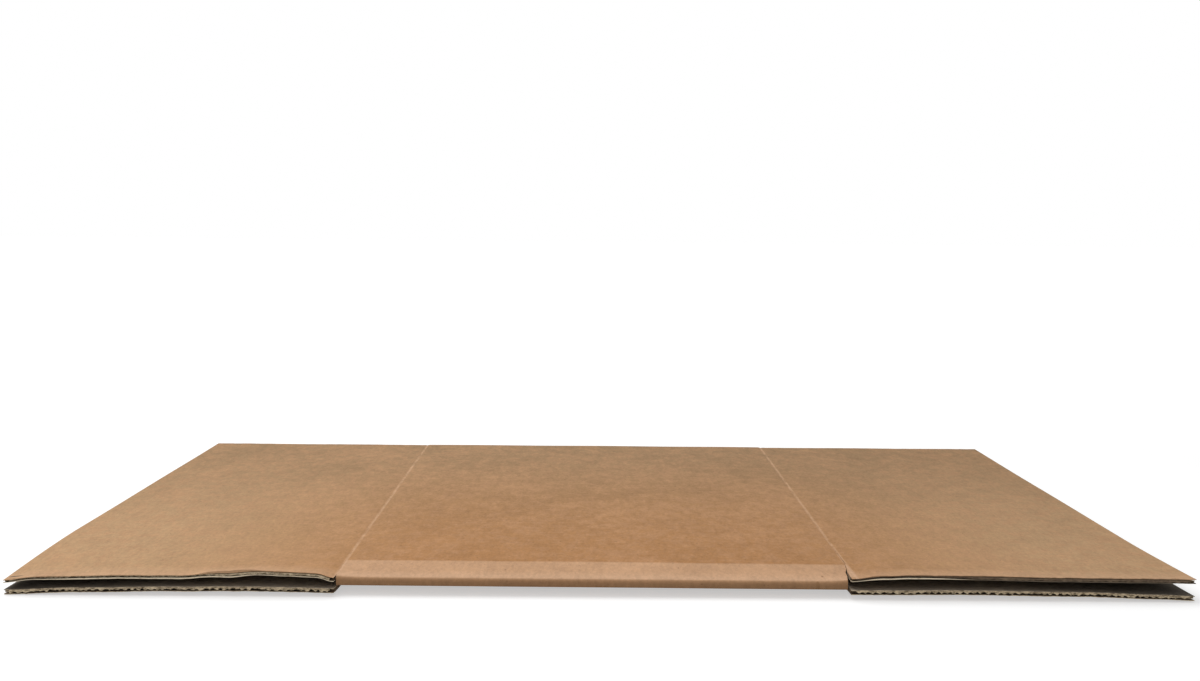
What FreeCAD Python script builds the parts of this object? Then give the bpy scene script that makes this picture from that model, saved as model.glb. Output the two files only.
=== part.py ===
import FreeCAD, Part
import math
import os

import Sketcher

# A corrugated shipping carton, knocked flat and folded in half again, lying flat.
# X runs along the carton's height (flap, body, flap), the way its flutes run.
# Y runs from the folded edge nearest the viewer to the two folds at the far side.
# Z is up. The four boards of the folded wall lie over each other, counted from the bottom.
# All sizes are in millimetres. Flap distances along Y are taken from the near flap edges.

SIZES = {
    # the carton's panels
    "body_height": 390.0,
    "flap_length": 257.0,
    "folded_depth": 513.0,
    "slot_clearance": 5.0,
    # the board
    "board_thickness": 3.7,
    "board_gap": 0.3,
    "liner_thickness": 0.4,
    "medium_thickness": 0.35,
    "flute_pitch": 7.8,
    "flute_land": 1.6,
    "flank_share": 0.47,
    # the near fold, where two crushed boards close on each other
    "band_depth": 44.0,
    "nose_setback": 3.0,
    "nose_drop": 3.0,
    "nose_lift": 6.6,
    "nose_board": 2.6,
    "nose_radius": 1.6,
    "inner_fold_clearance": 0.5,
    # the far folds, each of two boards
    "far_fold_radius": 3.2,
    # the free ends of the outer flaps
    "flap_droop": 1.0,
    "flap_lift": 4.0,
    # open flutes and scores
    "edge_opening": 2.5,
    "edge_web": 1.0,
    "flute_end_web": 6.0,
    "score_width": 3.0,
    "score_depth": 0.3,
}

BOARDS = (0, 1, 2, 3)
BOTTOM_BOARD = 0
TOP_BOARD = 3

# How far a through cut reaches past the board in all, and how closely an edge's place must match
CUT_SPARE = 2.0
PLACE_MATCH = 0.01


class Size:
    """A length that keeps its value beside the sheet expression that gives it."""

    def __init__(self, value, text):
        self.value = float(value)
        self.text = text

    def __add__(self, other):
        other = as_size(other)
        return Size(self.value + other.value, f"({self.text} + {other.text})")

    def __sub__(self, other):
        other = as_size(other)
        return Size(self.value - other.value, f"({self.text} - {other.text})")

    def __mul__(self, other):
        other = as_size(other)
        return Size(self.value * other.value, f"({self.text} * {other.text})")

    def __truediv__(self, other):
        other = as_size(other)
        return Size(self.value / other.value, f"({self.text} / {other.text})")

    def __neg__(self):
        return Size(-self.value, f"(0 - {self.text})")


def as_size(number):
    """Take a plain number as a size that no cell drives."""
    if isinstance(number, Size):
        return number
    return Size(number, repr(float(number)))


def larger(first, second):
    """The larger of two sizes."""
    first = as_size(first)
    second = as_size(second)
    return Size(max(first.value, second.value), f"max({first.text}; {second.text})")


class Sheet:
    """The sizes of the carton, each read by its own name."""

    def __init__(self, document):
        self.sheet = document.addObject("Spreadsheet::Sheet", "sizes")
        self.names = list(SIZES)
        for row, name in enumerate(self.names, start=1):
            self.sheet.set(f"A{row}", name)
            self.sheet.set(f"B{row}", str(SIZES[name]))
            self.sheet.setAlias(f"B{row}", name)
        document.recompute()

    def __getattr__(self, name):
        return Size(self.sheet.get(name), f"sizes.{name}")


document = FreeCAD.newDocument("flattened_box")
size = Sheet(document)

board = size.board_thickness
step = size.board_thickness + size.board_gap
stack_height = step * 3 + board
half_body = size.body_height / 2
half_length = half_body + size.flap_length
flap_far_edge = size.folded_depth - size.slot_clearance
inner_nose = size.band_depth + size.inner_fold_clearance
inner_flap_edge = inner_nose + size.slot_clearance
flute_start = inner_flap_edge + size.edge_opening + size.edge_web
flute_half_pitch = size.flute_pitch / 2
flute_half_width = flute_half_pitch - size.flute_land / 2 - size.medium_thickness * size.flank_share


def across(distance):
    """The Y place of a distance from the near flap edges."""
    return as_size(distance) - size.folded_depth / 2


def board_floor(number):
    """The height of the underside of a board in the flat stack."""
    return step * number


def plane(body, role):
    """One of a body's own origin planes."""
    for feature in body.Origin.OriginFeatures:
        if feature.Role == role:
            return feature
    raise ValueError(role)


def new_sketch(body, name, role, offset=0):
    """A sketch on an origin plane, moved along that plane's normal."""
    sketch = body.newObject("Sketcher::SketchObject", name)
    sketch.AttachmentSupport = [(plane(body, role), "")]
    sketch.MapMode = "FlatFace"
    sketch.setExpression(".AttachmentOffset.Base.z", as_size(offset).text)
    return sketch


def draw_outline(sketch, corners):
    """A closed outline of straight lines whose corners are held by the sheet's sizes."""
    points = [FreeCAD.Vector(x.value, y.value, 0) for x, y in corners]
    following = points[1:] + points[:1]
    lines = [Part.LineSegment(a, b) for a, b in zip(points, following)]
    first = sketch.addGeometry(lines, False)[0]
    count = len(lines)
    for index in range(count):
        after = first + (index + 1) % count
        sketch.addConstraint(Sketcher.Constraint("Coincident", first + index, 2, after, 1))
    for index, (x, y) in enumerate(corners):
        hold(sketch, "DistanceX", first + index, x)
        hold(sketch, "DistanceY", first + index, y)


def hold(sketch, kind, line, distance):
    """Hold the start of a line at a distance from the sketch's origin."""
    constraint = Sketcher.Constraint(kind, -1, 1, line, 1, distance.value)
    number = sketch.addConstraint(constraint)
    sketch.setExpression(f"Constraints[{number}]", distance.text)


def draw_wall(sketch):
    """The section of the folded wall: its outer silhouette and the space inside it."""
    fold_top = step + board
    slit_top = step * 2
    crushed_top = stack_height - size.nose_drop
    far = across(size.folded_depth)
    far_inside = far - board
    band = across(size.band_depth)
    nose = across(size.nose_setback)
    nose_inside = nose + size.nose_board
    inner = across(inner_nose)
    inner_inside = inner + board
    draw_outline(sketch, [
        (far, stack_height),
        (band, stack_height),
        (nose, crushed_top),
        (nose, size.nose_lift),
        (band, as_size(0)),
        (far, as_size(0)),
        (far, fold_top),
        (inner_inside, fold_top),
        (inner_inside, slit_top),
        (far, slit_top),
    ])
    draw_outline(sketch, [
        (far_inside, board_floor(TOP_BOARD)),
        (band, board_floor(TOP_BOARD)),
        (nose_inside, crushed_top - size.nose_board),
        (nose_inside, size.nose_lift + size.nose_board),
        (band, board),
        (far_inside, board),
        (far_inside, step),
        (inner, step),
        (inner, slit_top + board),
        (far_inside, slit_top + board),
    ])


def near_shift(number, distance):
    """How far an outer flap has moved up or down near its free edge."""
    run = larger(size.band_depth - distance, 0) / size.band_depth
    if number == TOP_BOARD:
        return -(size.flap_droop * run)
    if number == BOTTOM_BOARD:
        return size.flap_lift * run
    return as_size(0)


def draw_flap(sketch, number):
    """One flap's board, cut at both edges so that its flute stands open between the liners."""
    outer = number in (TOP_BOARD, BOTTOM_BOARD)
    near = as_size(0) if outer else inner_flap_edge
    bend = size.band_depth if outer else flute_start
    floor = board_floor(number)
    liner = size.liner_thickness
    heights = (as_size(0), liner, board - liner, board)
    bottom, lower, upper, top = heights
    deep = near + size.edge_opening
    far = flap_far_edge
    far_deep = far - size.edge_opening
    places = [
        (far, top),
        (bend, top),
        (near, top),
        (near, upper),
        (deep, upper),
        (deep, lower),
        (near, lower),
        (near, bottom),
        (bend, bottom),
        (far, bottom),
        (far, lower),
        (far_deep, lower),
        (far_deep, upper),
        (far, upper),
    ]
    draw_outline(sketch, [
        (across(distance), floor + rise + near_shift(number, distance))
        for distance, rise in places
    ])


def draw_flute(sketch, number, start):
    """The two channels of one flute: the one under the upper liner, then the one over the lower."""
    narrow = size.flute_land / 2
    wide = flute_half_width
    floor = board_floor(number)
    low = size.liner_thickness
    high = board - size.liner_thickness
    medium = size.medium_thickness
    first = start + wide
    second = first + flute_half_pitch
    upper_channel = [
        (first - wide, high),
        (first - narrow, low + medium),
        (first + narrow, low + medium),
        (first + wide, high),
    ]
    lower_channel = [
        (second - wide, low),
        (second + wide, low),
        (second + narrow, high - medium),
        (second - narrow, high - medium),
    ]
    for channel in (upper_channel, lower_channel):
        draw_outline(sketch, [
            (across(distance), floor + rise + near_shift(number, distance))
            for distance, rise in channel
        ])


def round_edges(body, name, places, radius):
    """Round the straight edges along X that pass through the given places of the section."""
    solid = body.Tip
    names = []
    for number, edge in enumerate(solid.Shape.Edges, start=1):
        middle = edge.CenterOfMass
        for y, z in places:
            away = math.hypot(middle.y - y.value, middle.z - z.value)
            if away < PLACE_MATCH and abs(middle.x) < PLACE_MATCH:
                names.append(f"Edge{number}")
    fillet = body.newObject("PartDesign::Fillet", name)
    fillet.Base = (solid, names)
    fillet.setExpression("Radius", radius.text)
    document.recompute()
    return fillet


def make_wall(body):
    """The body panels: one wall folded flat and folded again, with its rounded folds."""
    section = new_sketch(body, "wall_section", "YZ_Plane")
    draw_wall(section)
    wall = body.newObject("PartDesign::Pad", "wall")
    wall.Profile = section
    wall.SideType = "Symmetric"
    wall.setExpression("Length", size.body_height.text)
    document.recompute()
    far = across(size.folded_depth)
    slit_top = step * 2
    far_corners = [(far, height) for height in (as_size(0), step + board, slit_top, stack_height)]
    round_edges(body, "far_folds", far_corners, size.far_fold_radius)
    inner = across(inner_nose)
    inner_corners = [(inner, step), (inner, slit_top + board)]
    round_edges(body, "inner_fold", inner_corners, size.far_fold_radius)
    nose = across(size.nose_setback)
    nose_corners = [(nose, stack_height - size.nose_drop), (nose, size.nose_lift)]
    round_edges(body, "near_fold", nose_corners, size.nose_radius)


def mirror(body, feature, name):
    """Repeat a feature of the right end at the left end."""
    mirrored = body.newObject("PartDesign::Mirrored", name)
    mirrored.Originals = [feature]
    mirrored.MirrorPlane = (plane(body, "YZ_Plane"), [""])
    mirrored.Refine = feature.Refine
    body.Tip = mirrored
    document.recompute()


def make_flaps(body):
    """The four flaps at each end, which carry on from the body panels past the scores."""
    section = new_sketch(body, "flap_section", "YZ_Plane", half_body)
    for number in BOARDS:
        draw_flap(section, number)
    flaps = body.newObject("PartDesign::Pad", "right_flaps")
    flaps.Profile = section
    flaps.setExpression("Length", size.flap_length.text)
    document.recompute()
    mirror(body, flaps, "left_flaps")


def make_near_flutes(body):
    """The flutes near the free edges of the outer flaps, open at the flaps' ends only."""
    room = flute_start - size.edge_opening - size.edge_web
    count = math.floor((room / size.flute_pitch).value)
    section = new_sketch(body, "near_flute_section", "YZ_Plane", half_length)
    for index in range(1, count + 1):
        for number in (TOP_BOARD, BOTTOM_BOARD):
            draw_flute(section, number, flute_start - size.flute_pitch * index)
    flutes = body.newObject("PartDesign::Pocket", "right_near_flutes")
    flutes.Profile = section
    flutes.Refine = False
    flutes.setExpression("Length", (size.flap_length - size.flute_end_web).text)
    document.recompute()
    mirror(body, flutes, "left_near_flutes")


def make_flutes(body):
    """The flutes of the flat boards, which run from end to end and stand open at both."""
    end = flap_far_edge - size.edge_opening - size.edge_web
    room = end - flute_start - flute_half_pitch - flute_half_width * 2
    section = new_sketch(body, "flute_section", "YZ_Plane")
    for number in BOARDS:
        draw_flute(section, number, flute_start)
    flute = body.newObject("PartDesign::Pocket", "flute")
    flute.Profile = section
    flute.SideType = "Symmetric"
    flute.Refine = False
    flute.setExpression("Length", (half_length * 2 + CUT_SPARE).text)
    document.recompute()
    row = body.newObject("PartDesign::LinearPattern", "flute_row")
    row.Originals = [flute]
    row.Direction = (section, ["H_Axis"])
    row.Mode = "Spacing"
    row.Refine = False
    row.setExpression("Offset", size.flute_pitch.text)
    row.setExpression("Occurrences", f"floor({(room / size.flute_pitch).text}) + 1")
    body.Tip = row
    document.recompute()


def make_scores(body):
    """The pressed lines between body and flaps, on the outer faces of the top and bottom boards."""
    section = new_sketch(body, "score_section", "XZ_Plane", size.folded_depth / 2 - size.band_depth)
    half = size.score_width / 2
    for side in (-1, 1):
        middle = half_body * side
        for face, depth in ((stack_height, -size.score_depth), (as_size(0), size.score_depth)):
            draw_outline(section, [
                (middle - half, face),
                (middle, face + depth),
                (middle + half, face),
            ])
    scores = body.newObject("PartDesign::Pocket", "scores")
    scores.Profile = section
    scores.Refine = False
    scores.setExpression("Length", (flap_far_edge - size.band_depth).text)
    document.recompute()


def check(thing):
    """Stop if a feature failed or the solid isn't a single sound one."""
    for feature in document.Objects:
        if "Invalid" in feature.State or "Error" in feature.State:
            raise RuntimeError(f"{feature.Name} failed: {feature.State}")
    shape = thing.Shape
    if shape.isNull() or not shape.isValid():
        raise RuntimeError(f"{thing.Label} isn't a sound shape")
    if len(shape.Solids) != 1:
        raise RuntimeError(f"{thing.Label} has {len(shape.Solids)} solids")


box = document.addObject("PartDesign::Body", "flattened_box")
box.Label = "flattened_box"
box.Placement = FreeCAD.Placement()
make_wall(box)
make_flaps(box)
make_scores(box)
make_near_flutes(box)
make_flutes(box)
check(box)

os.makedirs("parts", exist_ok=True)
box.Shape.exportStep(f"parts/{box.Label}.step")
print(f"{box.Label}: {box.Shape.Volume / 1000:.1f} cm3, {len(box.Shape.Faces)} faces")
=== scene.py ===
import math

import bmesh
import bpy
import numpy as np
from mathutils import Matrix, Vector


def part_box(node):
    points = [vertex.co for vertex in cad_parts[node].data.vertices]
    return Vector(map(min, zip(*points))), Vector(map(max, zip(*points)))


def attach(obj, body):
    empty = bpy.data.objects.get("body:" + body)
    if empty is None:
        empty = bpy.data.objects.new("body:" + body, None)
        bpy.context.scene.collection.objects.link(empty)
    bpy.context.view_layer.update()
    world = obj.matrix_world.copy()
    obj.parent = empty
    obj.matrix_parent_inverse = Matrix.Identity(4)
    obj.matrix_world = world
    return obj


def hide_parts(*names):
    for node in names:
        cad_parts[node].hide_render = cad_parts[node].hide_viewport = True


# A carton of corrugated board, knocked flat and folded in half, lying on a pale floor.
# Lengths are in millimetres and become metres where a mesh is made.
# X runs along the flutes. Depth is the distance behind the near flap edges, and Z is up.

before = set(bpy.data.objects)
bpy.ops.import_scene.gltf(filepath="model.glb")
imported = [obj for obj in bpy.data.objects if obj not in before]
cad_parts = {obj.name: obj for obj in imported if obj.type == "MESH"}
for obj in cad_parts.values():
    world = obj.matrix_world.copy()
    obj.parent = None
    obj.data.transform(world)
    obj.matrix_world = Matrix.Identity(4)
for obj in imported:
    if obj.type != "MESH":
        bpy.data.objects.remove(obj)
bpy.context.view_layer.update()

MM = 0.001
NODE = "flattened_box"
LEFT = -1
RIGHT = 1

far_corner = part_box(NODE)[1]
HALF_LENGTH = far_corner.x / MM
HALF_DEPTH = far_corner.y / MM
STACK_HEIGHT = far_corner.z / MM

# The board. Its thickness, gaps, medium and pitch are the solid's, and its liners a little thicker.
BOARD_GAP = 0.3
BOARD = (STACK_HEIGHT - BOARD_GAP * 3) / 4
STEP = BOARD + BOARD_GAP
LINER = 0.45
MEDIUM = 0.35
FLUTE_PITCH = 7.8
BOTTOM_BOARD = 0
LOWER_INNER = 1
UPPER_INNER = 2
TOP_BOARD = 3

# The panels
FOLDED_DEPTH = HALF_DEPTH * 2
SLOT_CLEARANCE = 5.0
FLAP_FAR = FOLDED_DEPTH - SLOT_CLEARANCE
BAND_DEPTH = 44.0
INNER_FOLD_DEPTH = 44.5
INNER_FLAP_DEPTH = INNER_FOLD_DEPTH + SLOT_CLEARANCE

# The scores, and the line pressed along each: its half width, how deep it is and how far down it shows
SCORE = {LEFT: -203.0, RIGHT: 194.0}
SCORE_WIDTH = 1.3
SCORE_DIP = 0.35
SCORE_SKIN = 0.7

# The near fold: its front face, its crushed board, and the lift of its left side and of its ends
NOSE_DEPTH = 3.0
NOSE_TOP = STACK_HEIGHT - 2.6
NOSE_BOTTOM = 7.2
NOSE_BOARD = 2.6
NOSE_TILT = 1.1
END_LIFT = 1.2
END_REACH = 8.0

# The radii of the folds, outside and inside, the thickness of the board in the far and inner ones,
# and the steps that each turn is drawn in
NOSE_RADIUS = 3.4
NOSE_LOWER_RADIUS = 1.9
NOSE_INNER_RADIUS = 0.3
CREASE_RADIUS = 30.0
FOLD_RADIUS = 3.2
FOLD_INNER_RADIUS = 0.4
FOLD_BOARD = 2.9
ARC_STEPS = 6

# How far the wall's middle boards reach forward from the far folds, and the depth to which the inner
# fold's boards reach back
FAR_FOLD_REACH = 40.0
INNER_FOLD_BACK = 110.0

# The steps that each straight run of a folded board's section is drawn in, and the inner fold's columns
WALL_COUNTS = [3, 2, 60, 10, 4, 10, 24, 2, 3]
INNER_FOLD_COUNTS = [8, 2, 8]
INNER_FOLD_COLUMNS = 41

# How much shorter the medium of a folded board is than its liners, at each end
MEDIUM_SETBACK = 0.9

# The wall's columns from slot to slot, as shares: spacing near the ends, between, and the ends' length
WALL_FINE = 0.006
WALL_COARSE = 0.016
WALL_MARGIN = 0.06

# The waviness of a handled board: height, run along and across the flutes, and where it begins, and
# the share of it on the near fold's front face and on the inner flaps
BROAD_SWELL = 0.22
BROAD_RUN_X = 61.0
BROAD_RUN_DEPTH = 83.0
BROAD_SHIFT_X = 1.3
BROAD_SHIFT_DEPTH = 0.4
FINE_SWELL = 0.1
FINE_RUN_X = 23.0
FINE_RUN_DEPTH = 37.0
FOLD_SWELL_SHARE = 0.2
INNER_SWELL_SHARE = 0.4

# Where the fold ends at each slot, and where each flap begins beside it, by depth. The flap makes up
# for that within FLAP_START_REACH of its score.
FOLD_END = {
    LEFT: [(0, -201.6), (6, -202.4), (12, -203.0)],
    RIGHT: [(0, 187.2), (20, 189.4), (34, 192.3), (44, 194.0)],
}
FLAP_START = {
    LEFT: [(0, -203.4), (6, -203.0)],
    RIGHT: [(0, 189.6), (18, 190.2), (34, 192.6), (44, 194.0)],
}
FLAP_START_REACH = 40.0

# How far the near edge of each outer flap stands off the flat stack, by distance from the score
# on a flap of RISE_LENGTH
RISE_LENGTH = 257.0
EDGE_RISE = {
    (LEFT, TOP_BOARD): [
        (0, -0.3), (14, 3.0), (30, 3.5), (58, 4.4), (86, 2.7), (122, 0.5),
        (156, 0.3), (232, -1.4), (257, -4.2),
    ],
    (RIGHT, TOP_BOARD): [(0, 1.3), (22, 3.8), (42, 4.6), (82, 4.4), (150, 3.3), (210, 3.1), (257, 2.6)],
    (LEFT, BOTTOM_BOARD): [(0, 3.2), (62, 4.0), (130, 3.6), (200, 2.4), (257, 0.4)],
    (RIGHT, BOTTOM_BOARD): [(0, 4.2), (80, 4.8), (170, 4.0), (230, 2.4), (257, 1.4)],
}

# How far behind the near edge its lift or droop dies out, and how steeply
LIFT_REACH = 110.0
DROOP_REACH = 130.0
BOTTOM_REACH = 60.0
FALL_POWER = 1.6

# How much of a top flap's thickness is pressed out at its near edge, by distance from the score
PINCH = {
    LEFT: [(0, 0.10), (75, 0.10), (105, 0.45), (257, 0.50)],
    RIGHT: [(0, 0.40), (50, 0.40), (95, 0.08), (257, 0.05)],
}
PINCH_REACH = 14.0

# The torn top liner on the left flap
TEAR_MIDDLE = 78.0
TEAR_HALF = 26.0
TEAR_LIFT = 1.5
TEAR_REACH = 16.0

# How the liners of the top flaps curl at their near edges: the upper one unevenly, where it is
# within TOP_SKIN of the board's top, and the lower one by distance from the score, with waves along
# the left flap
CURL_SIZE = 0.5
CURL_RUN = 4
CURL_REACH = 5.0
TOP_SKIN = 0.2
LIP_CURL = {
    LEFT: [(58, 0.2), (76, 1.5), (98, 1.0), (150, 1.0), (250, 0.4)],
    RIGHT: [(5, 0.16), (20, 0.8), (45, 0.8), (90, 0.0)],
}
LIP_LIMIT = 1.3
LIP_REACH = 3.0
LIP_LEVEL = 0.7
LIP_WAVE = 0.35
LIP_RUNS = (19.0, 47.0)
LIP_SHIFT = 1.0

# How finely a flap is drawn: along it, near its cut edges and between them
OUTER_ALONG = 2.4
INNER_ALONG = 12.0
OUTER_FINE = 2.0
INNER_FINE = 8.0
FLAP_COARSE = 11.0
FLAP_MARGIN = 24.0

# The nicks of the cut edges, which die out a little way into the board, and the share of slower ones
NEAR_NICK = 0.45
FAR_NICK = 0.35
NICK_RUN = 2
NICK_REACH = 4.0
SLOW_SHARE = 1.6

# The medium inside a flap: a closed core, and waves at the open end, by distance from that end
CORE_END = 26.0
CORE_SETBACK = 6.0
WAVE_SETBACK = 1.2
WAVE_PLACES = (30.0, 12.0, 0.5)
WAVE_HEIGHTS = (1.0, 1.0, 0.97)
WAVE_POINTS = 12
WAVE_FLATNESS = 1.5

# The torn medium along an edge that was cut along its flutes
TORN_START = 3.0
TORN_END = 4.0
TORN_STEP = 0.9
TORN_ROWS = 4
TOOTH_PITCH = 5.3
TOOTH_DRIFT = 0.3
TOOTH_DRIFT_RUN = 11.0
TOOTH_ROUGHNESS = 0.45
TOOTH_LIMIT = 1.2
TOOTH_LEAN = 0.4
TORN_RUN = 3

# How far that medium hangs, as shares of its height, and how far it stands back
OPEN_HANG = 0.3
OPEN_TOOTH = 0.5
OPEN_ROUGHNESS = 0.12
OPEN_LEAST = 0.2
OPEN_MOST = 0.9
OPEN_SETBACK = 0.1
OPEN_RAGGED = 0.4

# The same under a top flap's near edge, where the medium starts lower and stands back
PINCHED_HANG = 0.5
PINCHED_TOOTH = 0.2
PINCHED_LEAST = 0.3
PINCHED_MOST = 0.7
PINCHED_DROP = 0.28
PINCHED_RAGGED = 0.3
PINCHED_SETBACK = {
    LEFT: [(0, 0.5), (80, 0.5), (105, 1.7)],
    RIGHT: [(0, 1.5), (80, 1.5), (100, 0.5)],
}

# Edges sharper than this, in degrees, stay sharp
SHARP_ANGLE = 38

# Small dark marks on the fold: place along the flutes, depth and radius
SPOTS = [(170.0, 15.0, 1.3), (164.5, 3.0, 1.6), (-75.0, 24.0, 1.1), (60.0, 31.0, 0.9)]

# The camera, fitted to the carton's outline in a picture of 1200 by 681
PICTURE_WIDTH = 1200
PICTURE_HEIGHT = 681
FOCAL_PIXELS = 1149.0
CENTRE_ROW = 379.2
SENSOR = 36.0
CAMERA_PLACE = (-11.5, -1097.0, 287.0)
CAMERA_PITCH = 8.032
CAMERA_YAW = -0.563
CAMERA_ROLL = 0.564
CAMERA_CLIP = 50.0

# The light: how bright the surround is for the carton and for the camera
SURROUND_LIGHT = 0.42
SURROUND_SEEN = 1.0

# The floor, in metres: its colour, and the glow that the camera sees near the carton and far off
FLOOR_HALF = 12.0
FLOOR_GREY = (0.62, 0.62, 0.62, 1)
GLOW_NEAR = (0.5, 0.5, 0.5, 1)
GLOW_FAR = (1, 1, 1, 1)
GLOW_START = 0.75
GLOW_END = 1.6
FLOOR_TOOTH = 0.002

SEED = 20
dice = np.random.default_rng(SEED)


def eased(stops, place):
    """A smooth line through stops of (place, value)."""
    places = np.array([stop[0] for stop in stops], float)
    values = np.array([stop[1] for stop in stops], float)
    place = np.asarray(place, float)
    index = np.clip(np.searchsorted(places, place) - 1, 0, len(places) - 2)
    share = np.clip((place - places[index]) / (places[index + 1] - places[index]), 0, 1)
    share = share * share * (3 - 2 * share)
    return values[index] + (values[index + 1] - values[index]) * share


def fade(distance, reach):
    """1 at no distance, falling evenly to 0 at reach."""
    return np.clip(1 - distance / reach, 0, 1)


def steps(start, end, size):
    """Places from start to end, about one size apart."""
    count = max(1, round(abs(end - start) / size))
    return np.linspace(start, end, count + 1)


def graded(start, end, fine, coarse, stretch):
    """Places from start to end that are fine for a stretch at each end and coarse between."""
    near = steps(start, start + stretch, fine)
    middle = steps(start + stretch, end - stretch, coarse)
    far = steps(end - stretch, end, fine)
    return np.concatenate([near, middle[1:], far[1:]])


def ragged(places, size, run):
    """Random offsets along a cut edge, of about one size, joined over a run of places."""
    rough = dice.uniform(-1, 1, len(places))
    rough = np.convolve(rough, np.ones(run) / run, "same")
    wide = run * 2
    slow = dice.uniform(-1, 1, len(places) + wide)
    slow = np.convolve(slow, np.ones(wide) / wide, "same")
    return size * (rough + slow[run:run + len(places)] * SLOW_SHARE)


def swell(x, depth):
    """The slight waviness of a board that has been handled."""
    broad = BROAD_SWELL * np.sin(x / BROAD_RUN_X + BROAD_SHIFT_X)
    broad = broad * np.sin(depth / BROAD_RUN_DEPTH + BROAD_SHIFT_DEPTH)
    return broad + FINE_SWELL * np.sin(x / FINE_RUN_X + depth / FINE_RUN_DEPTH)


class Shape:
    """The closed shells of one piece, gathered in millimetres."""

    def __init__(self):
        self.points = []
        self.faces = []
        self.paints = []
        self.count = 0

    def shell(self, outer, inner, outer_paint, inner_paint, edge_paint):
        """Close the space between two grids of the same size, with a rim on all four sides."""
        rows, columns = outer.shape[:2]
        number = np.arange(rows * columns).reshape(rows, columns)
        under = number + rows * columns
        self.points += [outer.reshape(-1, 3), inner.reshape(-1, 3)]
        self.quads(number[:-1, :-1], number[:-1, 1:], number[1:, 1:], number[1:, :-1], outer_paint)
        self.quads(under[:-1, :-1], under[1:, :-1], under[1:, 1:], under[:-1, 1:], inner_paint)
        for line, below in (
            (number[0], under[0]),
            (number[-1], under[-1]),
            (number[:, 0], under[:, 0]),
            (number[:, -1], under[:, -1]),
        ):
            self.quads(line[:-1], line[1:], below[1:], below[:-1], edge_paint)
        self.count += rows * columns * 2

    def quads(self, a, b, c, d, paint):
        """Add faces between four sets of point numbers, with one finish."""
        corners = np.stack([a, b, c, d], -1).reshape(-1, 4) + self.count
        self.faces.append(corners)
        self.paints.append(np.full(len(corners), paint))

    def piece(self, name, materials):
        """Make the gathered shells a piece of the carton."""
        mesh = bpy.data.meshes.new(name)
        points = np.concatenate(self.points) * MM
        mesh.from_pydata(points.tolist(), [], np.concatenate(self.faces).tolist())
        for material in materials:
            mesh.materials.append(material)
        mesh.polygons.foreach_set("material_index", np.concatenate(self.paints).astype(np.int32))
        turn_outwards(mesh)
        mesh.polygons.foreach_set("use_smooth", np.ones(len(mesh.polygons), bool))
        mesh.set_sharp_from_angle(angle=math.radians(SHARP_ANGLE))
        thing = bpy.data.objects.new(name, mesh)
        bpy.context.scene.collection.objects.link(thing)
        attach(thing, "root")
        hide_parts(NODE)


def turn_outwards(mesh):
    """Turn every face of the closed shells outwards."""
    work = bmesh.new()
    work.from_mesh(mesh)
    bmesh.ops.recalc_face_normals(work, faces=work.faces)
    work.to_mesh(mesh)
    work.free()


# The places of the finishes in a piece's list of materials
FACE = 0
CUT = 1
FLUTE = 2
PALE = 3
# The inner faces, painted darker and greyer as shade
SHADED_INSIDE = 4


def rounded_path(corners, radii, counts):
    """A line through corners of (depth, height) with rounded turns and a set number of points."""
    corners = [np.array(corner, float) for corner in corners]
    starts = [corners[0]]
    ends = []
    arcs = []
    for before, corner, after, radius in zip(corners, corners[1:], corners[2:], radii):
        into = (corner - before) / np.linalg.norm(corner - before)
        out = (after - corner) / np.linalg.norm(after - corner)
        turn = math.acos(float(np.clip(into @ out, -1, 1)))
        reach = radius * math.tan(turn / 2)
        first = corner - into * reach
        last = corner + out * reach
        ends.append(first)
        starts.append(last)
        arcs.append(bend(first, last, into, turn, radius))
    ends.append(corners[-1])
    points = []
    for index, (start, end, count) in enumerate(zip(starts, ends, counts)):
        shares = np.linspace(0, 1, count + 1)[:, None]
        run = start + (end - start) * shares
        points.append(run if index == 0 else run[1:])
        if index < len(arcs):
            points.append(arcs[index])
    return np.concatenate(points)


def bend(first, last, into, turn, radius):
    """The points of an arc that leaves first along into and ends at last."""
    side = np.array([-into[1], into[0]])
    if (last - first) @ side < 0:
        side = -side
    angles = np.linspace(0, turn, ARC_STEPS + 1)[1:, None]
    return first + into * radius * np.sin(angles) + side * radius * (1 - np.cos(angles))


def place(x, depth, height):
    """Points from a place along the flutes, a depth and a height."""
    x, depth, height = np.broadcast_arrays(x, depth, height)
    return np.stack([x, depth - HALF_DEPTH, height], -1)


def score_dip(x, height):
    """The pressed line along each score, on the top board."""
    dip = 0
    for side in (LEFT, RIGHT):
        dip = dip + np.exp(-((x - SCORE[side]) / SCORE_WIDTH) ** 2)
    return np.where(height > STACK_HEIGHT - SCORE_SKIN, -SCORE_DIP * dip, 0.0)


def wall_grid(path, squeeze=0.0):
    """Sweep the wall's section from slot to slot, stopping short of each end by squeeze."""
    depth = path[:, 0][:, None]
    height = path[:, 1][:, None]
    share = graded(0.0, 1.0, WALL_FINE, WALL_COARSE, WALL_MARGIN)[None, :]
    left = eased(FOLD_END[LEFT], depth) + squeeze
    right = eased(FOLD_END[RIGHT], depth) - squeeze
    x = left + (right - left) * share
    above_bottom = np.clip((height - BOARD) / BOARD, 0, 1)
    behind_nose = np.clip((depth - NOSE_DEPTH) / BAND_DEPTH, FOLD_SWELL_SHARE, 1)
    lift = swell(x, depth) * behind_nose * above_bottom
    ends = np.exp((left - x) / END_REACH) + np.exp((x - right) / END_REACH)
    ends = ends * np.clip((height - NOSE_BOTTOM) / (NOSE_TOP - NOSE_BOTTOM), 0, 1)
    tilt = (NOSE_TILT * (1 - share) + END_LIFT * ends) * fade(depth, BAND_DEPTH)
    return place(x, depth, height + lift + tilt + score_dip(x, height))


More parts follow.
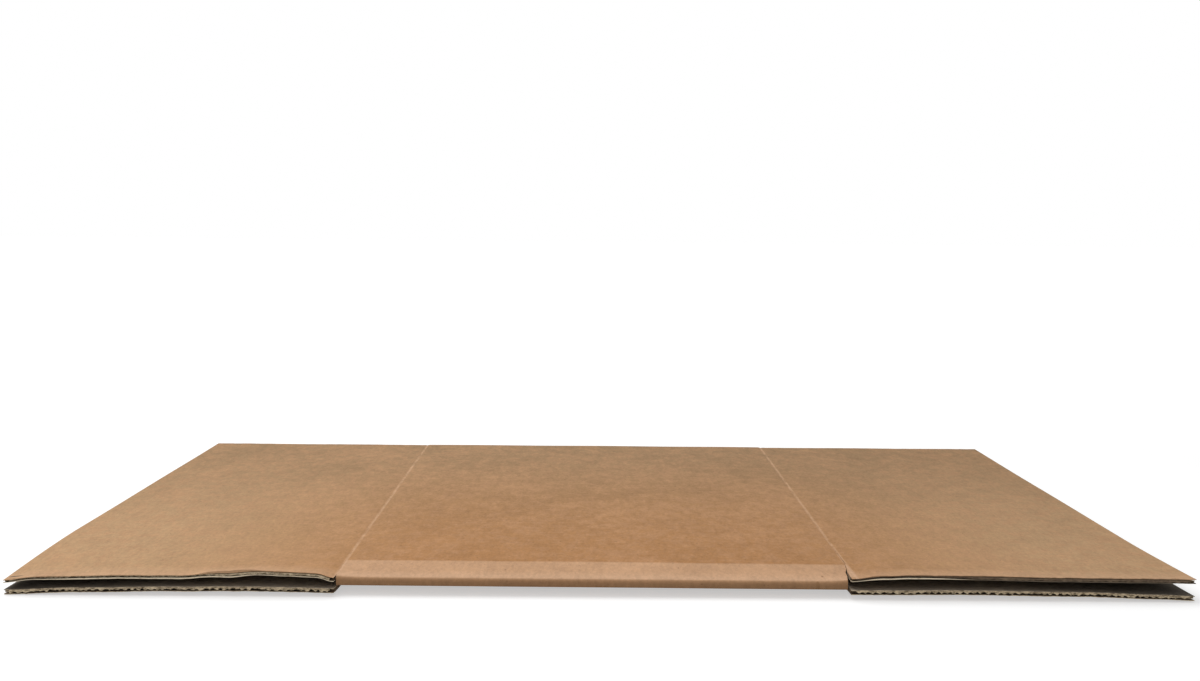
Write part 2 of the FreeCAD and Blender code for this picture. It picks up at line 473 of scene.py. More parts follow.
def inner_fold_grid(path, squeeze=0.0):
    """Sweep the inner fold's section from score to score, stopping short of each by squeeze."""
    x = np.linspace(SCORE[LEFT] + squeeze, SCORE[RIGHT] - squeeze, INNER_FOLD_COLUMNS)[None, :]
    return place(x, path[:, 0][:, None], path[:, 1][:, None])


def laminate(shape, outer, inner, grid):
    """The three layers of a board between two lines of its section: liner, medium, liner."""
    share = LINER / BOARD
    first = outer + (inner - outer) * share
    second = inner + (outer - inner) * share
    shape.shell(grid(outer), grid(first), FACE, FLUTE, CUT)
    shape.shell(grid(first, MEDIUM_SETBACK), grid(second, MEDIUM_SETBACK), FLUTE, FLUTE, FLUTE)
    shape.shell(grid(second), grid(inner), FLUTE, SHADED_INSIDE, CUT)


def make_wall(materials):
    """The body panels: the top board, the near fold, the bottom board and both far folds."""
    fold_top = STEP + BOARD
    slit = STEP * 2
    far = FOLDED_DEPTH
    start = far - FAR_FOLD_REACH
    skin = FOLD_BOARD
    nose_inside = NOSE_DEPTH + NOSE_BOARD
    outer_corners = [
        (start, slit), (far, slit), (far, STACK_HEIGHT), (BAND_DEPTH, STACK_HEIGHT),
        (NOSE_DEPTH, NOSE_TOP), (NOSE_DEPTH, NOSE_BOTTOM), (BAND_DEPTH, 0), (far, 0),
        (far, fold_top), (start, fold_top),
    ]
    inner_corners = [
        (start, slit + skin), (far - skin, slit + skin), (far - skin, STACK_HEIGHT - skin),
        (BAND_DEPTH, STACK_HEIGHT - BOARD), (nose_inside, NOSE_TOP - NOSE_BOARD),
        (nose_inside, NOSE_BOTTOM + NOSE_BOARD), (BAND_DEPTH, BOARD),
        (far - skin, skin), (far - skin, fold_top - skin), (start, fold_top - skin),
    ]
    outer_radii = [
        FOLD_RADIUS, FOLD_RADIUS, CREASE_RADIUS, NOSE_RADIUS, NOSE_LOWER_RADIUS, CREASE_RADIUS,
        FOLD_RADIUS, FOLD_RADIUS,
    ]
    inner_radii = [
        FOLD_INNER_RADIUS, FOLD_INNER_RADIUS, CREASE_RADIUS, NOSE_INNER_RADIUS, NOSE_INNER_RADIUS,
        CREASE_RADIUS, FOLD_INNER_RADIUS, FOLD_INNER_RADIUS,
    ]
    outer = rounded_path(outer_corners, outer_radii, WALL_COUNTS)
    inner = rounded_path(inner_corners, inner_radii, WALL_COUNTS)
    shape = Shape()
    laminate(shape, outer, inner, wall_grid)
    shape.piece("body_wall", materials)


def make_inner_fold(materials):
    """The inner fold, nested behind the near one, where the two middle boards meet."""
    top = STEP * 2 + BOARD
    back = INNER_FOLD_BACK
    front = INNER_FOLD_DEPTH
    skin = FOLD_BOARD
    outer_corners = [(back, top), (front, top), (front, STEP), (back, STEP)]
    inner_corners = [
        (back, top - skin), (front + skin, top - skin), (front + skin, STEP + skin), (back, STEP + skin),
    ]
    outer = rounded_path(outer_corners, [FOLD_RADIUS, FOLD_RADIUS], INNER_FOLD_COUNTS)
    inner = rounded_path(inner_corners, [FOLD_INNER_RADIUS, FOLD_INNER_RADIUS], INNER_FOLD_COUNTS)
    shape = Shape()
    laminate(shape, outer, inner, inner_fold_grid)
    shape.piece("inner_fold", materials)


class Flap:
    """One flap's board: where it lies, how its free edge stands and how finely it is drawn."""

    def __init__(self, side, number):
        self.side = side
        self.number = number
        self.outer = number in (TOP_BOARD, BOTTOM_BOARD)
        self.near = 0.0 if self.outer else INNER_FLAP_DEPTH
        self.floor = STEP * number
        self.length = HALF_LENGTH - abs(SCORE[side])
        self.along = steps(0.0, self.length, OUTER_ALONG if self.outer else INNER_ALONG)
        fine = OUTER_FINE if self.outer else INNER_FINE
        self.depths = graded(self.near, FLAP_FAR, fine, FLAP_COARSE, FLAP_MARGIN)
        self.near_nick = ragged(self.along, NEAR_NICK, NICK_RUN)
        self.far_nick = ragged(self.along, FAR_NICK, NICK_RUN)
        self.curl = np.abs(ragged(self.along, CURL_SIZE, CURL_RUN))

    def rise(self, along, depth):
        """How far the board stands off its flat place."""
        x = SCORE[self.side] + self.side * along
        board = self.number if self.outer else TOP_BOARD
        edge = eased(EDGE_RISE[self.side, board], along * RISE_LENGTH / self.length)
        if not self.outer:
            droop = np.minimum(edge, 0) * fade(depth, DROOP_REACH) ** FALL_POWER
            return swell(x, depth) * INNER_SWELL_SHARE + droop * (self.number / TOP_BOARD)
        if self.number == BOTTOM_BOARD:
            return edge * fade(depth, BOTTOM_REACH) ** FALL_POWER
        reach = np.where(edge < 0, DROOP_REACH, LIFT_REACH)
        return edge * fade(depth, reach) ** FALL_POWER + swell(x, depth)

    def grid(self, height, back=0.0, depths=None, along=None):
        """Points over the flap at a height in its board, set back from its cut edges.

        Without places along it, the grid is the flap's own, with nicked edges and a curled skin.
        """
        own = along is None
        along = self.along if own else along
        depths = self.depths if depths is None else depths
        depth = np.clip(depths, self.near + back, FLAP_FAR - back)[:, None]
        if own:
            near_share = fade(depth - self.near, NICK_REACH)
            far_share = fade(FLAP_FAR - depth, NICK_REACH)
            depth = depth + self.near_nick * near_share + self.far_nick * far_share
        along = along[None, :]
        x = self.across(along, depth)
        lift = self.rise(along, depth)
        if self.number == TOP_BOARD:
            pinch = eased(PINCH[self.side], along) * fade(depth, PINCH_REACH) ** 2
            lift = lift + (BOARD - height) * pinch
        if self.number == TOP_BOARD and height > BOARD - TOP_SKIN:
            curl = self.curl[None, :] * fade(depth, CURL_REACH) if own else 0.0
            lift = lift + self.tear(along, depth) + curl + score_dip(x, STACK_HEIGHT)
        return place(x, depth, self.floor + height + lift)

    def across(self, along, depth):
        """The places along X, which begin where the fold leaves off beside the slot."""
        score = SCORE[self.side]
        start = eased(FLAP_START[self.side], depth) if self.outer else score
        return score + self.side * along + (start - score) * fade(along, FLAP_START_REACH)

    def tear(self, along, depth):
        """The torn stretch where the top liner curls off its flute."""
        if self.side == RIGHT:
            return 0.0
        spread = np.clip(1 - ((along - TEAR_MIDDLE) / TEAR_HALF) ** 2, 0, 1)
        return TEAR_LIFT * spread * fade(depth, TEAR_REACH) ** 2

    def liners(self, shape):
        """The two liners of the flap."""
        top_face, top_rim, bottom_rim, bottom_face = self.finishes()
        shape.shell(self.grid(BOARD), self.grid(BOARD - LINER), top_face, FLUTE, top_rim)
        lower = self.grid(0.0)
        lower[:, :, 2] -= self.lip()
        shape.shell(self.grid(LINER), lower, FLUTE, bottom_face, bottom_rim)

    def finishes(self):
        """The finish of the upper face and rim, then of the lower rim and face."""
        if self.number == TOP_BOARD:
            return FACE, FACE, PALE, SHADED_INSIDE
        if self.number == BOTTOM_BOARD:
            return SHADED_INSIDE, CUT, CUT, FACE
        return SHADED_INSIDE, CUT, CUT, SHADED_INSIDE

    def lip(self):
        """How far the lower liner of a top flap curls down at its near edge."""
        if self.number != TOP_BOARD:
            return 0.0
        curl = eased(LIP_CURL[self.side], self.along)
        if self.side == LEFT:
            wave = np.sin(self.along / LIP_RUNS[0] + LIP_SHIFT) * np.sin(self.along / LIP_RUNS[1])
            curl = curl * (LIP_LEVEL + LIP_WAVE * wave)
        curl = np.clip(curl, 0.0, LIP_LIMIT)[None, :]
        return curl * fade(self.depths - self.near, LIP_REACH)[:, None]

    def core(self, shape):
        """The closed run of the medium, set back from the cut edges and from the open end."""
        end = self.length - CORE_END
        along = np.append(self.along[self.along < end], end)
        top = self.grid(BOARD - LINER, CORE_SETBACK, along=along)
        bottom = self.grid(LINER, CORE_SETBACK, along=along)
        shape.shell(top, bottom, FLUTE, FLUTE, FLUTE)

    def flutes(self, shape):
        """The medium's waves at the flap's open end."""
        near = self.near + WAVE_SETBACK
        far = FLAP_FAR - WAVE_SETBACK
        depths = np.linspace(near, far, int((far - near) / FLUTE_PITCH * WAVE_POINTS) + 1)
        wave = np.sin((depths - near) / FLUTE_PITCH * 2 * np.pi + self.number)
        wave = np.tanh(wave * WAVE_FLATNESS) / np.tanh(WAVE_FLATNESS)
        swing = BOARD / 2 - LINER - MEDIUM / 2
        height = BOARD / 2 + swing * wave[:, None] * np.array(WAVE_HEIGHTS)[None, :]
        slope = np.gradient(height, depths, axis=0)
        half = MEDIUM / 2 * np.sqrt(1 + slope ** 2)
        top = self.grid(0.0, depths=depths, along=self.length - np.array(WAVE_PLACES))
        top[:, :, 2] += height
        bottom = top.copy()
        top[:, :, 2] += half
        bottom[:, :, 2] -= half
        shape.shell(top, bottom, FLUTE, FLUTE, CUT)

    def torn_edge(self, shape, depth, outward):
        """The ragged medium along an edge that was cut along its flutes."""
        along = steps(TORN_START, self.length - TORN_END, TORN_STEP)
        teeth = torn_teeth(along)
        pinched = self.number == TOP_BOARD and outward > 0
        if pinched:
            hang, setback, drop = self.pinched_medium(along, teeth)
        else:
            hang, setback, drop = open_medium(along, teeth)
        line = self.grid(BOARD - LINER, depths=np.array([depth]), along=along)[0]
        face = []
        for share in np.linspace(0, 1, TORN_ROWS):
            row = line.copy()
            row[:, 1] = depth + outward * (setback - share * TOOTH_LEAN * teeth) - HALF_DEPTH
            row[:, 2] -= share * hang + drop
            face.append(row)
        face = np.array(face)
        back = face + np.array([0, outward * MEDIUM, 0])
        # The right top flap's torn medium takes the medium's paint, which is partly painted shade
        paint = FLUTE if pinched and self.side == RIGHT else CUT
        shape.shell(face, back, paint, FLUTE, paint)

    def pinched_medium(self, along, teeth):
        """How far the medium hangs, stands back and starts down under a top flap's near edge."""
        full = (BOARD - LINER * 2) * (1 - eased(PINCH[self.side], along))
        hang = np.clip(PINCHED_HANG + PINCHED_TOOTH * teeth, PINCHED_LEAST, PINCHED_MOST) * full
        setback = eased(PINCHED_SETBACK[self.side], along)
        setback = setback + PINCHED_RAGGED * np.abs(ragged(along, 1.0, TORN_RUN))
        return hang, setback, PINCHED_DROP * full


def torn_teeth(along):
    """The uneven teeth of torn medium, as shares of its height."""
    drift = TOOTH_DRIFT * np.sin(along / TOOTH_DRIFT_RUN)
    zigzag = np.abs((along / TOOTH_PITCH + drift) % 1 - 0.5) * 2
    return np.clip(zigzag + ragged(along, TOOTH_ROUGHNESS, TORN_RUN), 0, TOOTH_LIMIT)


def open_medium(along, teeth):
    """How far the medium hangs, stands back and starts down at the other cut edges."""
    full = BOARD - LINER * 2
    rough = OPEN_ROUGHNESS * dice.uniform(-1, 1, len(along))
    hang = np.clip(OPEN_HANG + OPEN_TOOTH * teeth + rough, OPEN_LEAST, OPEN_MOST) * full
    setback = OPEN_SETBACK + OPEN_RAGGED * np.abs(ragged(along, 1.0, TORN_RUN))
    return hang, setback, 0.0


FLAP_NAMES = {
    BOTTOM_BOARD: "bottom_flap",
    LOWER_INNER: "lower_inner_flap",
    UPPER_INNER: "upper_inner_flap",
    TOP_BOARD: "top_flap",
}
SIDE_NAMES = {LEFT: "left", RIGHT: "right"}


def make_flap(side, number, materials):
    """A flap with its liners, its flutes and its cut edges."""
    flap = Flap(side, number)
    shape = Shape()
    flap.liners(shape)
    flap.core(shape)
    flap.flutes(shape)
    flap.torn_edge(shape, flap.near, 1)
    flap.torn_edge(shape, FLAP_FAR, -1)
    shape.piece(f"{SIDE_NAMES[side]}_{FLAP_NAMES[number]}", materials)


class Wire:
    """A socket of a material, with arithmetic that adds Math nodes."""

    def __init__(self, paint, socket):
        self.paint = paint
        self.socket = socket

    def combine(self, operation, first, second):
        """A Math node on two values."""
        return self.paint.node("ShaderNodeMath", {"operation": operation}, {0: first, 1: second})

    def __add__(self, other):
        return self.combine("ADD", self, other)

    __radd__ = __add__

    def __mul__(self, other):
        return self.combine("MULTIPLY", self, other)

    __rmul__ = __mul__

    def __sub__(self, other):
        return self.combine("SUBTRACT", self, other)

    def __rsub__(self, other):
        return self.combine("SUBTRACT", other, self)

    def __pow__(self, other):
        return self.combine("POWER", self, other)

    def __rpow__(self, other):
        return self.combine("POWER", other, self)

    def __abs__(self):
        return self.combine("ABSOLUTE", self, 0.0)


# Patterns of noise: repeats per metre, all round or along X, Y and Z, then detail and roughness
CLOUDS = (9.0, 4.0, 0.6)
PATCHES = (45.0, 3.0, 0.6)
GRAIN = (900.0, 2.0, 0.6)
SPECKS = (420.0, 1.0, 0.5)
STREAKS = ((260.0, 80.0, 100.0), 3.0, 0.6)
FIBRES = ((1500.0, 300.0, 600.0), 2.0, 0.7)
PINK_PATCHES = ((110.0, 90.0, 100.0), 3.0, 0.7)
MOTTLE = ((420.0, 250.0, 300.0), 3.0, 0.75)
TORN_PAPER = ((260.0, 700.0, 900.0), 3.0, 0.7)
TORN_GRAIN = (1500.0, 2.0, 0.7)
MEDIUM_CLOUDS = (60.0, 3.0, 0.6)
MEDIUM_FIBRES = ((500.0, 1100.0, 1100.0), 3.0, 0.7)
FLOOR_GRAIN = (300.0, 3.0, 0.55)

# The matt paper: its dull gloss, and how strongly and how deep its relief shows, in metres
PAPER_GLOSS = 0.25
RELIEF_STRENGTH = 0.7
LINER_RELIEF = 0.00012
TORN_RELIEF = 0.0003


class Paint:
    """The nodes of one material or of the surround."""

    def __init__(self, owner):
        self.owner = owner
        owner.use_nodes = True
        self.tree = owner.node_tree
        self.tree.nodes.clear()

    def node(self, kind, settings=None, inputs=None, output=0):
        """Add a node, set it up, feed it and give back one of its outputs, if it has any."""
        node = self.tree.nodes.new(kind)
        for key, value in (settings or {}).items():
            setattr(node, key, value)
        for key, value in (inputs or {}).items():
            socket = node.inputs[key]
            if isinstance(value, Wire):
                self.tree.links.new(value.socket, socket)
            else:
                socket.default_value = value
        return Wire(self, node.outputs[output]) if len(node.outputs) else None

    def point(self):
        """A point on the carton, in metres."""
        return self.node("ShaderNodeTexCoord", output="Object")

    def axes(self, point):
        """The three coordinates of a point."""
        inputs = {"Vector": point}
        return [self.node("ShaderNodeSeparateXYZ", inputs=inputs, output=axis) for axis in "XYZ"]

    def pattern(self, point, kind):
        """One of the patterns above, from 0 to 1 over points."""
        scale, detail, roughness = kind
        if isinstance(scale, tuple):
            point = self.node("ShaderNodeVectorMath", {"operation": "MULTIPLY"}, {0: point, 1: scale})
            scale = 1.0
        return self.node(
            "ShaderNodeTexNoise",
            inputs={"Vector": point, "Scale": scale, "Detail": detail, "Roughness": roughness},
            output="Fac",
        )

    def ease(self, value, start, end):
        """0 before start and 1 after end, with a smooth step between."""
        settings = {"interpolation_type": "SMOOTHSTEP"}
        inputs = {"Value": value, "From Min": start, "From Max": end}
        return self.node("ShaderNodeMapRange", settings, inputs)

    def span(self, value, start, end):
        """The same for a value in metres, with start and end in millimetres."""
        return self.ease(value, start * MM, end * MM)

    def clamp(self, value, top=1.0):
        """A value kept between 0 and top."""
        return self.node("ShaderNodeClamp", inputs={"Value": value, "Min": 0.0, "Max": top})

    def mix(self, share, first, second):
        """A blend of two colours."""
        inputs = {"Factor": share, "A": first, "B": second}
        return self.node("ShaderNodeMix", {"data_type": "RGBA"}, inputs, output="Result")

    def tint(self, colour, strength):
        """A colour made lighter or darker by a factor around 1."""
        return self.node("ShaderNodeVectorMath", {"operation": "SCALE"}, {0: colour, "Scale": strength})

    def finish(self, colour, roughness, height, distance):
        """A matt surface with its relief."""
        relief = {"Strength": RELIEF_STRENGTH, "Distance": distance, "Height": height}
        bump = self.node("ShaderNodeBump", inputs=relief)
        look = {"Base Color": colour, "Roughness": roughness, "Normal": bump}
        look["Specular IOR Level"] = PAPER_GLOSS
        shader = self.node("ShaderNodeBsdfPrincipled", inputs=look, output="BSDF")
        return self.surface(shader)

    def surface(self, shader):
        """Send a shader to the surface and give back the material."""
        self.node("ShaderNodeOutputMaterial", inputs={"Surface": shader})
        return self.owner


KRAFT_MIDDLE = (0.445, 0.22, 0.086, 1)
KRAFT_ENDS = (0.52, 0.325, 0.172, 1)
KRAFT_BACK = (0.355, 0.22, 0.113, 1)
# The pale colour of wear, also used for the painted highlight along the near edges
KRAFT_WORN_AND_HIGHLIT = (0.66, 0.41, 0.25, 1)
KRAFT_PINK = (0.53, 0.29, 0.15, 1)
# The colour of the painted shade on the fold's front face and of the small dark marks on it
KRAFT_FRONT_SHADE_AND_MARKS = (0.30, 0.16, 0.075, 1)
# The medium: kraft a little darker than the liner, painted much darker still as the shade in the flutes
# and behind the liners
MEDIUM_DARK = (0.13, 0.09, 0.06, 1)
MEDIUM_LIGHT = (0.30, 0.215, 0.14, 1)
CUT_DARK = (0.17, 0.12, 0.07, 1)
CUT_LIGHT = (0.82, 0.66, 0.44, 1)
PALE_DARK = (0.42, 0.30, 0.19, 1)
PALE_LIGHT = (0.95, 0.81, 0.59, 1)
# The inner faces: the liner's kraft, painted darker and greyer as the shade inside the folded carton
INSIDE_DARK = (0.36, 0.30, 0.24, 1)
INSIDE_LIGHT = (0.50, 0.42, 0.33, 1)

# The places along the flutes between which the liner pales towards its ends, and between which painted
# shade darkens it to the right, away from the light on the left
ENDS_START = 130
ENDS_FULL = 400
RIGHT_START = -150
RIGHT_FULL = 250
RIGHT_PAINTED_SHADE = 0.05

# The pink patches: where they show in their pattern, and how much
PINK_START = 0.55
PINK_FULL = 0.90
PINK_CLOUDS = 0.4
PINK_SHARE = 0.5

# How much each pattern lightens the liner over a base level, and how much the specks darken it
SHADE_LEVEL = 0.31
CLOUD_SHADE = 0.16
PATCH_SHADE = 0.28
STREAK_SHADE = 0.28
FIBRE_SHADE = 0.16
MOTTLE_SHADE = 0.50
SPECK_START = 0.70
SPECK_FULL = 0.78
SPECK_SHADE = 0.28

# How much each pattern roughens and raises the liner
LINER_ROUGHNESS = 0.78
GRAIN_ROUGHNESS = 0.12
FIBRE_HEIGHT = 0.35
GRAIN_HEIGHT = 0.25
PATCH_HEIGHT = 0.2
WASHBOARD_HEIGHT = 0.35


def paint_liner():
    """Kraft liner: cloudy brown paper with streaks along the flutes, specks, pale folds from wear, a
    painted highlight along the near edges, and painted shade on the fold's front face and towards the
    right.
    """
    paint = Paint(bpy.data.materials.new("kraft_liner"))
    point = paint.point()
    x, y, z = paint.axes(point)
    clouds = paint.pattern(point, CLOUDS)
    patches = paint.pattern(point, PATCHES)
    streaks = paint.pattern(point, STREAKS)
    fibres = paint.pattern(point, FIBRES)
    grain = paint.pattern(point, GRAIN)
    colour = paint.mix(paint.span(abs(x), ENDS_START, ENDS_FULL), KRAFT_MIDDLE, KRAFT_ENDS)
    colour = paint.mix(paint.span(y, -HALF_DEPTH, HALF_DEPTH), colour, KRAFT_BACK)
    pink = paint.pattern(point, PINK_PATCHES) + PINK_CLOUDS * clouds
    colour = paint.mix(paint.ease(pink, PINK_START, PINK_FULL) * PINK_SHARE, colour, KRAFT_PINK)
    # Pale from wear along the band and the scores, and a painted highlight along the near edges
    colour = paint.mix(worn_and_highlit(paint, x, y, z, streaks), colour, KRAFT_WORN_AND_HIGHLIT)
    # Painted shade on the fold's front face, and the small dark marks on it
    colour = paint.mix(front_shade_and_marks(paint, x, y), colour, KRAFT_FRONT_SHADE_AND_MARKS)
    shade = SHADE_LEVEL + CLOUD_SHADE * clouds + PATCH_SHADE * patches + STREAK_SHADE * streaks
    shade = shade + FIBRE_SHADE * fibres + MOTTLE_SHADE * paint.pattern(point, MOTTLE)
    # Painted shade: the liner darkens to the right, away from the light on the left
    shade = shade * (1 - RIGHT_PAINTED_SHADE * paint.span(x, RIGHT_START, RIGHT_FULL))
    specks = paint.ease(paint.pattern(point, SPECKS), SPECK_START, SPECK_FULL)
    shade = shade * (1 - SPECK_SHADE * specks)
    roughness = LINER_ROUGHNESS + GRAIN_ROUGHNESS * grain
    height = FIBRE_HEIGHT * fibres + GRAIN_HEIGHT * grain + PATCH_HEIGHT * patches + washboard(paint, y)
    return paint.finish(paint.tint(colour, shade), roughness, height, LINER_RELIEF)


def washboard(paint, y):
    """The faint ribs that the flutes press through the liner."""
    turns = y * (2 * math.pi / (FLUTE_PITCH * MM))
    return paint.node("ShaderNodeMath", {"operation": "SINE"}, {0: turns}) * WASHBOARD_HEIGHT


# The painted shade on the fold's front face, which faces away from the light overhead: the depths where
# it ends, its middle along the flutes, the distances from there where it ends, and how dark it and the
# small marks are
FRONT_START = 3.2
FRONT_END = 7.0
FRONT_MIDDLE = -7.5
FRONT_OUTER = 196.5
FRONT_INNER = 194.5
FRONT_SHARE = 0.75
SPOT_SHARE = 0.7
SPOT_CORE = 0.4
SPOT_STRETCH = 0.6


def front_shade_and_marks(paint, x, y):
    """Painted shade on the fold's front face, which faces away from the light overhead, and the small
    dark marks on it.
    """
    depth = y + HALF_DEPTH * MM
    front = 1 - paint.span(depth, FRONT_START, FRONT_END)
    in_body = paint.span(abs(x - FRONT_MIDDLE * MM), FRONT_OUTER, FRONT_INNER)
    # Painted shade over the front face
    share = front * in_body * FRONT_SHARE
    for spot_x, spot_depth, radius in SPOTS:
        away_x = x - spot_x * MM
        away_y = (depth - spot_depth * MM) * SPOT_STRETCH
        away = (away_x * away_x + away_y * away_y) ** 0.5
        share = share + (1 - paint.span(away, radius * SPOT_CORE, radius)) * SPOT_SHARE
    return paint.clamp(share)


# The pale crushed band: how much its back edge slants, how softly that ends on each side of the band's
# depth, its middle along the flutes, the distances from there where it ends, the depths where it
# starts, and how pale it is
BAND_SLANT = 0.009
BAND_BEFORE = 3.5
BAND_AFTER = 0.5
BAND_MIDDLE = -4.5
BAND_OUTER = 199.0
BAND_INNER = 197.5
BAND_FACE_START = 3.4
BAND_FACE_FULL = 7.0
BAND_SHARE = 0.62

# The pale near edges, from wear and a painted highlight, and the pale scores: how far the paleness
# reaches, how much, and above which heights
EDGE_HIGHLIGHT_REACH = 26
EDGE_HIGHLIGHT_SHARE = 0.42
CREASE_CORE = 0.5
CREASE_REACH = 1.9
CREASE_SHARE = 0.55
CREASE_STREAK_START = 0.25
CREASE_STREAK_FULL = 0.6
CREASE_LOW = 12
CREASE_HIGH = 14.5
WORN_AND_HIGHLIT_LIMIT = 0.9


def worn_and_highlit(paint, x, y, z, streaks):
    """Where the paper is pale: from wear along the band of the near fold and along the scores, and from
    wear and a painted highlight along the near flap edges.
    """
    depth = y + HALF_DEPTH * MM
    behind = depth + x * BAND_SLANT
    band = 1 - paint.span(behind, BAND_DEPTH - BAND_BEFORE, BAND_DEPTH + BAND_AFTER)
    in_body = paint.span(abs(x - BAND_MIDDLE * MM), BAND_OUTER, BAND_INNER)
    face = paint.span(depth, BAND_FACE_START, BAND_FACE_FULL)
    # Near edges: paler from wear and from a painted highlight along them
    edge = (1 - paint.span(depth, 0, EDGE_HIGHLIGHT_REACH)) * EDGE_HIGHLIGHT_SHARE
    crease = 0
    for side in (LEFT, RIGHT):
        away = abs(x - SCORE[side] * MM)
        crease = crease + (1 - paint.span(away, CREASE_CORE, CREASE_REACH))
    crease = crease * paint.ease(streaks, CREASE_STREAK_START, CREASE_STREAK_FULL) * CREASE_SHARE
    crease = crease * paint.span(z, CREASE_LOW, CREASE_HIGH)
    return paint.clamp(band * in_body * face * BAND_SHARE + edge + crease, WORN_AND_HIGHLIT_LIMIT)


# Cut edges: the share of fine fibres, the roughness, and where the right flaps' edges grow duller
TORN_FINE = 0.25
CUT_ROUGHNESS = 0.85
CUT_GRAIN_ROUGHNESS = 0.1
DULL_START = 262
DULL_FULL = 290


def paint_cut(name, dark, light, start, end, fade=0.0):
    """A cut edge: pale torn fibres over darker board, and duller by fade far along the right flaps."""
    paint = Paint(bpy.data.materials.new(name))
    point = paint.point()
    torn = paint.pattern(point, TORN_PAPER)
    fine = paint.pattern(point, TORN_GRAIN)
    dull = 1 - fade * paint.span(paint.axes(point)[0], DULL_START, DULL_FULL)
    colour = paint.mix(paint.ease(torn + TORN_FINE * fine, start, end) * dull, dark, light)
    roughness = CUT_ROUGHNESS + CUT_GRAIN_ROUGHNESS * fine
    return paint.finish(paint.tint(colour, dull), roughness, torn + fine, TORN_RELIEF)


# Inner paper: the shares of its patterns, where they turn light, its roughness, and where painted shade
# darkens it
INNER_CLOUDS = 0.6
INNER_FIBRES = 0.4
INNER_LIGHT_START = 0.35
INNER_LIGHT_FULL = 0.68
INNER_ROUGHNESS = 0.88
INNER_FIBRE_ROUGHNESS = 0.08
INNER_SHADE_START = 300
INNER_SHADE_FULL = 440


def paint_inner(name, dark, light, fade=0.0):
    """Paper that faces inwards: rougher than the outer liner, and darkened by fade with painted shade at
    the flap ends.
    """
    paint = Paint(bpy.data.materials.new(name))
    point = paint.point()
    cloud = paint.pattern(point, MEDIUM_CLOUDS)
    fibre = paint.pattern(point, MEDIUM_FIBRES)
    share = paint.ease(cloud * INNER_CLOUDS + fibre * INNER_FIBRES, INNER_LIGHT_START, INNER_LIGHT_FULL)
    # Painted shade, darker towards the flap ends
    shade = 1 - fade * paint.span(abs(paint.axes(point)[0]), INNER_SHADE_START, INNER_SHADE_FULL)
    colour = paint.tint(paint.mix(share, dark, light), shade)
    return paint.finish(colour, INNER_ROUGHNESS + INNER_FIBRE_ROUGHNESS * fibre, fibre, TORN_RELIEF)


def camera_share(paint):
    """1 where a ray from the camera, a gloss or a clear surface looks, and 0 for the light."""
    seen = paint.node("ShaderNodeLightPath", output="Is Camera Ray")
    gloss = paint.node("ShaderNodeLightPath", output="Is Glossy Ray")
    clear = paint.node("ShaderNodeLightPath", output="Is Transmission Ray")
    return paint.clamp(seen + gloss + clear)


def paint_floor():
    """A white floor that keeps the carton's shadow."""
    paint = Paint(bpy.data.materials.new("pale_floor"))
    point = paint.point()
    plain = paint.node("ShaderNodeBsdfDiffuse", inputs={"Color": FLOOR_GREY}, output="BSDF")
    away = paint.node("ShaderNodeVectorMath", {"operation": "LENGTH"}, {0: point}, output="Value")
    level = paint.mix(paint.ease(away, GLOW_START, GLOW_END), GLOW_NEAR, GLOW_FAR)
    glow = paint.node("ShaderNodeEmission", inputs={"Color": level, "Strength": 1.0}, output="Emission")
    bright = paint.node("ShaderNodeAddShader", inputs={0: plain, 1: glow}, output="Shader")
    share = camera_share(paint) * (1 - FLOOR_TOOTH + FLOOR_TOOTH * paint.pattern(point, FLOOR_GRAIN))
    mixed = paint.node("ShaderNodeMixShader", inputs={0: share, 1: plain, 2: bright}, output="Shader")
    return paint.surface(mixed)


def make_floor():
    """A wide floor under the carton."""
    half = FLOOR_HALF
    mesh = bpy.data.meshes.new("floor")
    corners = [(-half, -half, 0), (half, -half, 0), (half, half, 0), (-half, half, 0)]
    mesh.from_pydata(corners, [], [(0, 1, 2, 3)])
    mesh.materials.append(paint_floor())
    floor = bpy.data.objects.new("floor", mesh)
    bpy.context.scene.collection.objects.link(floor)


def make_surround():
    """An even white surround, brighter for the camera than for the carton."""
    world = bpy.data.worlds.new("studio")
    bpy.context.scene.world = world
    paint = Paint(world)
    seen = paint.node("ShaderNodeLightPath", output="Is Camera Ray")
    levels = {"Value": seen, "To Min": SURROUND_LIGHT, "To Max": SURROUND_SEEN}
    strength = paint.node("ShaderNodeMapRange", inputs=levels)
    back = paint.node("ShaderNodeBackground", inputs={"Color": (1, 1, 1, 1), "Strength": strength})
    paint.node("ShaderNodeOutputWorld", inputs={"Surface": back})


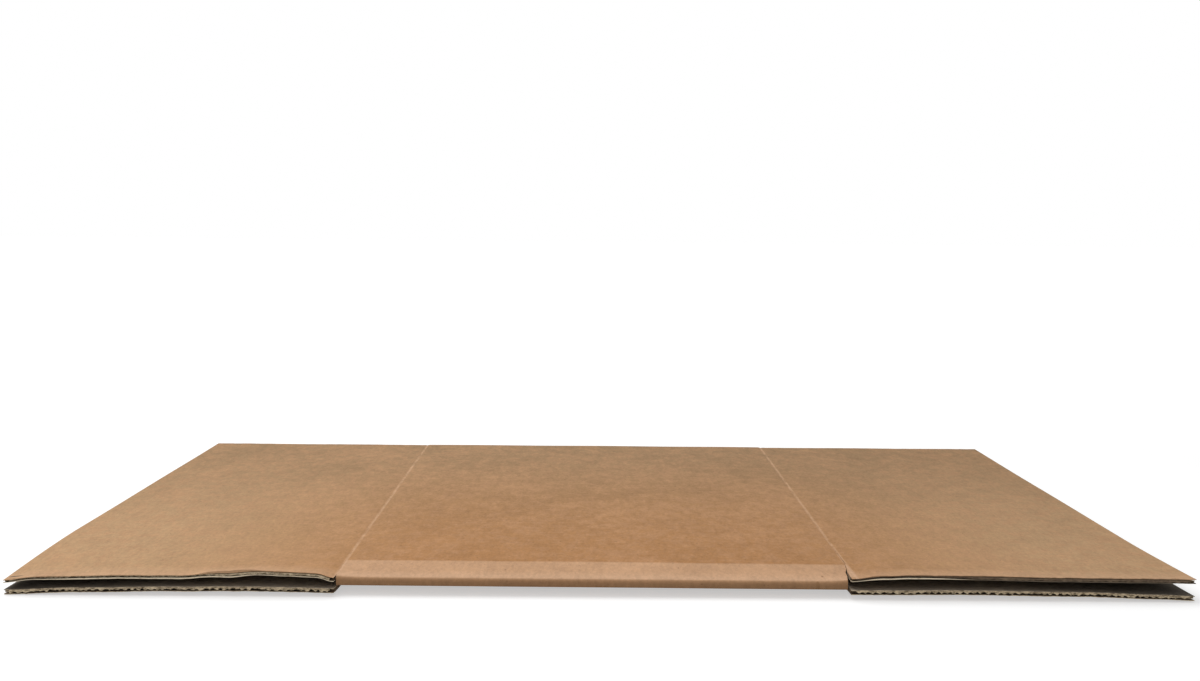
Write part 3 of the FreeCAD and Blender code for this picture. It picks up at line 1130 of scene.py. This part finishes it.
def make_lamp(name, energy, size, spot):
    """A soft lamp that looks at the middle of the carton, with its power in watts."""
    data = bpy.data.lights.new(name, "AREA")
    data.energy = energy
    data.size = size
    lamp = bpy.data.objects.new(name, data)
    bpy.context.scene.collection.objects.link(lamp)
    lamp.location = spot
    lamp.rotation_euler = lamp.location.to_track_quat("Z", "Y").to_euler()


def make_camera():
    """The camera, at the picture's viewing angle."""
    data = bpy.data.cameras.new("camera")
    data.sensor_width = SENSOR
    data.lens = FOCAL_PIXELS / PICTURE_WIDTH * SENSOR
    data.shift_y = (CENTRE_ROW - PICTURE_HEIGHT / 2) / PICTURE_WIDTH
    data.clip_end = CAMERA_CLIP
    camera = bpy.data.objects.new("camera", data)
    bpy.context.scene.collection.objects.link(camera)
    turn = Matrix.Rotation(math.radians(CAMERA_YAW), 4, "Z")
    tilt = Matrix.Rotation(math.radians(90 - CAMERA_PITCH), 4, "X")
    roll = Matrix.Rotation(math.radians(CAMERA_ROLL), 4, "Z")
    spot = Matrix.Translation([value * MM for value in CAMERA_PLACE])
    camera.matrix_world = spot @ turn @ tilt @ roll
    bpy.context.scene.camera = camera


make_camera()
board_materials = [
    paint_liner(),
    paint_cut("cut_board_edge", CUT_DARK, CUT_LIGHT, start=0.43, end=0.76),
    # The medium, partly painted shade
    paint_inner("fluted_medium", MEDIUM_DARK, MEDIUM_LIGHT),
    paint_cut("pale_torn_edge", PALE_DARK, PALE_LIGHT, start=0.34, end=0.62, fade=0.6),
    # The inner faces: painted shade, darker and greyer, and darker still at the flap ends
    paint_inner("shaded_inner_liner", INSIDE_DARK, INSIDE_LIGHT, fade=0.55),
]
make_wall(board_materials)
make_inner_fold(board_materials)
for side in (LEFT, RIGHT):
    for number in (BOTTOM_BOARD, LOWER_INNER, UPPER_INNER, TOP_BOARD):
        make_flap(side, number, board_materials)

make_floor()
make_surround()
make_lamp("overhead", energy=42.0, size=2.4, spot=(-0.9, 0.3, 2.2))
make_lamp("front", energy=3.0, size=1.8, spot=(-0.4, -2.2, 1.6))
bpy.context.scene.view_settings.view_transform = "Standard"
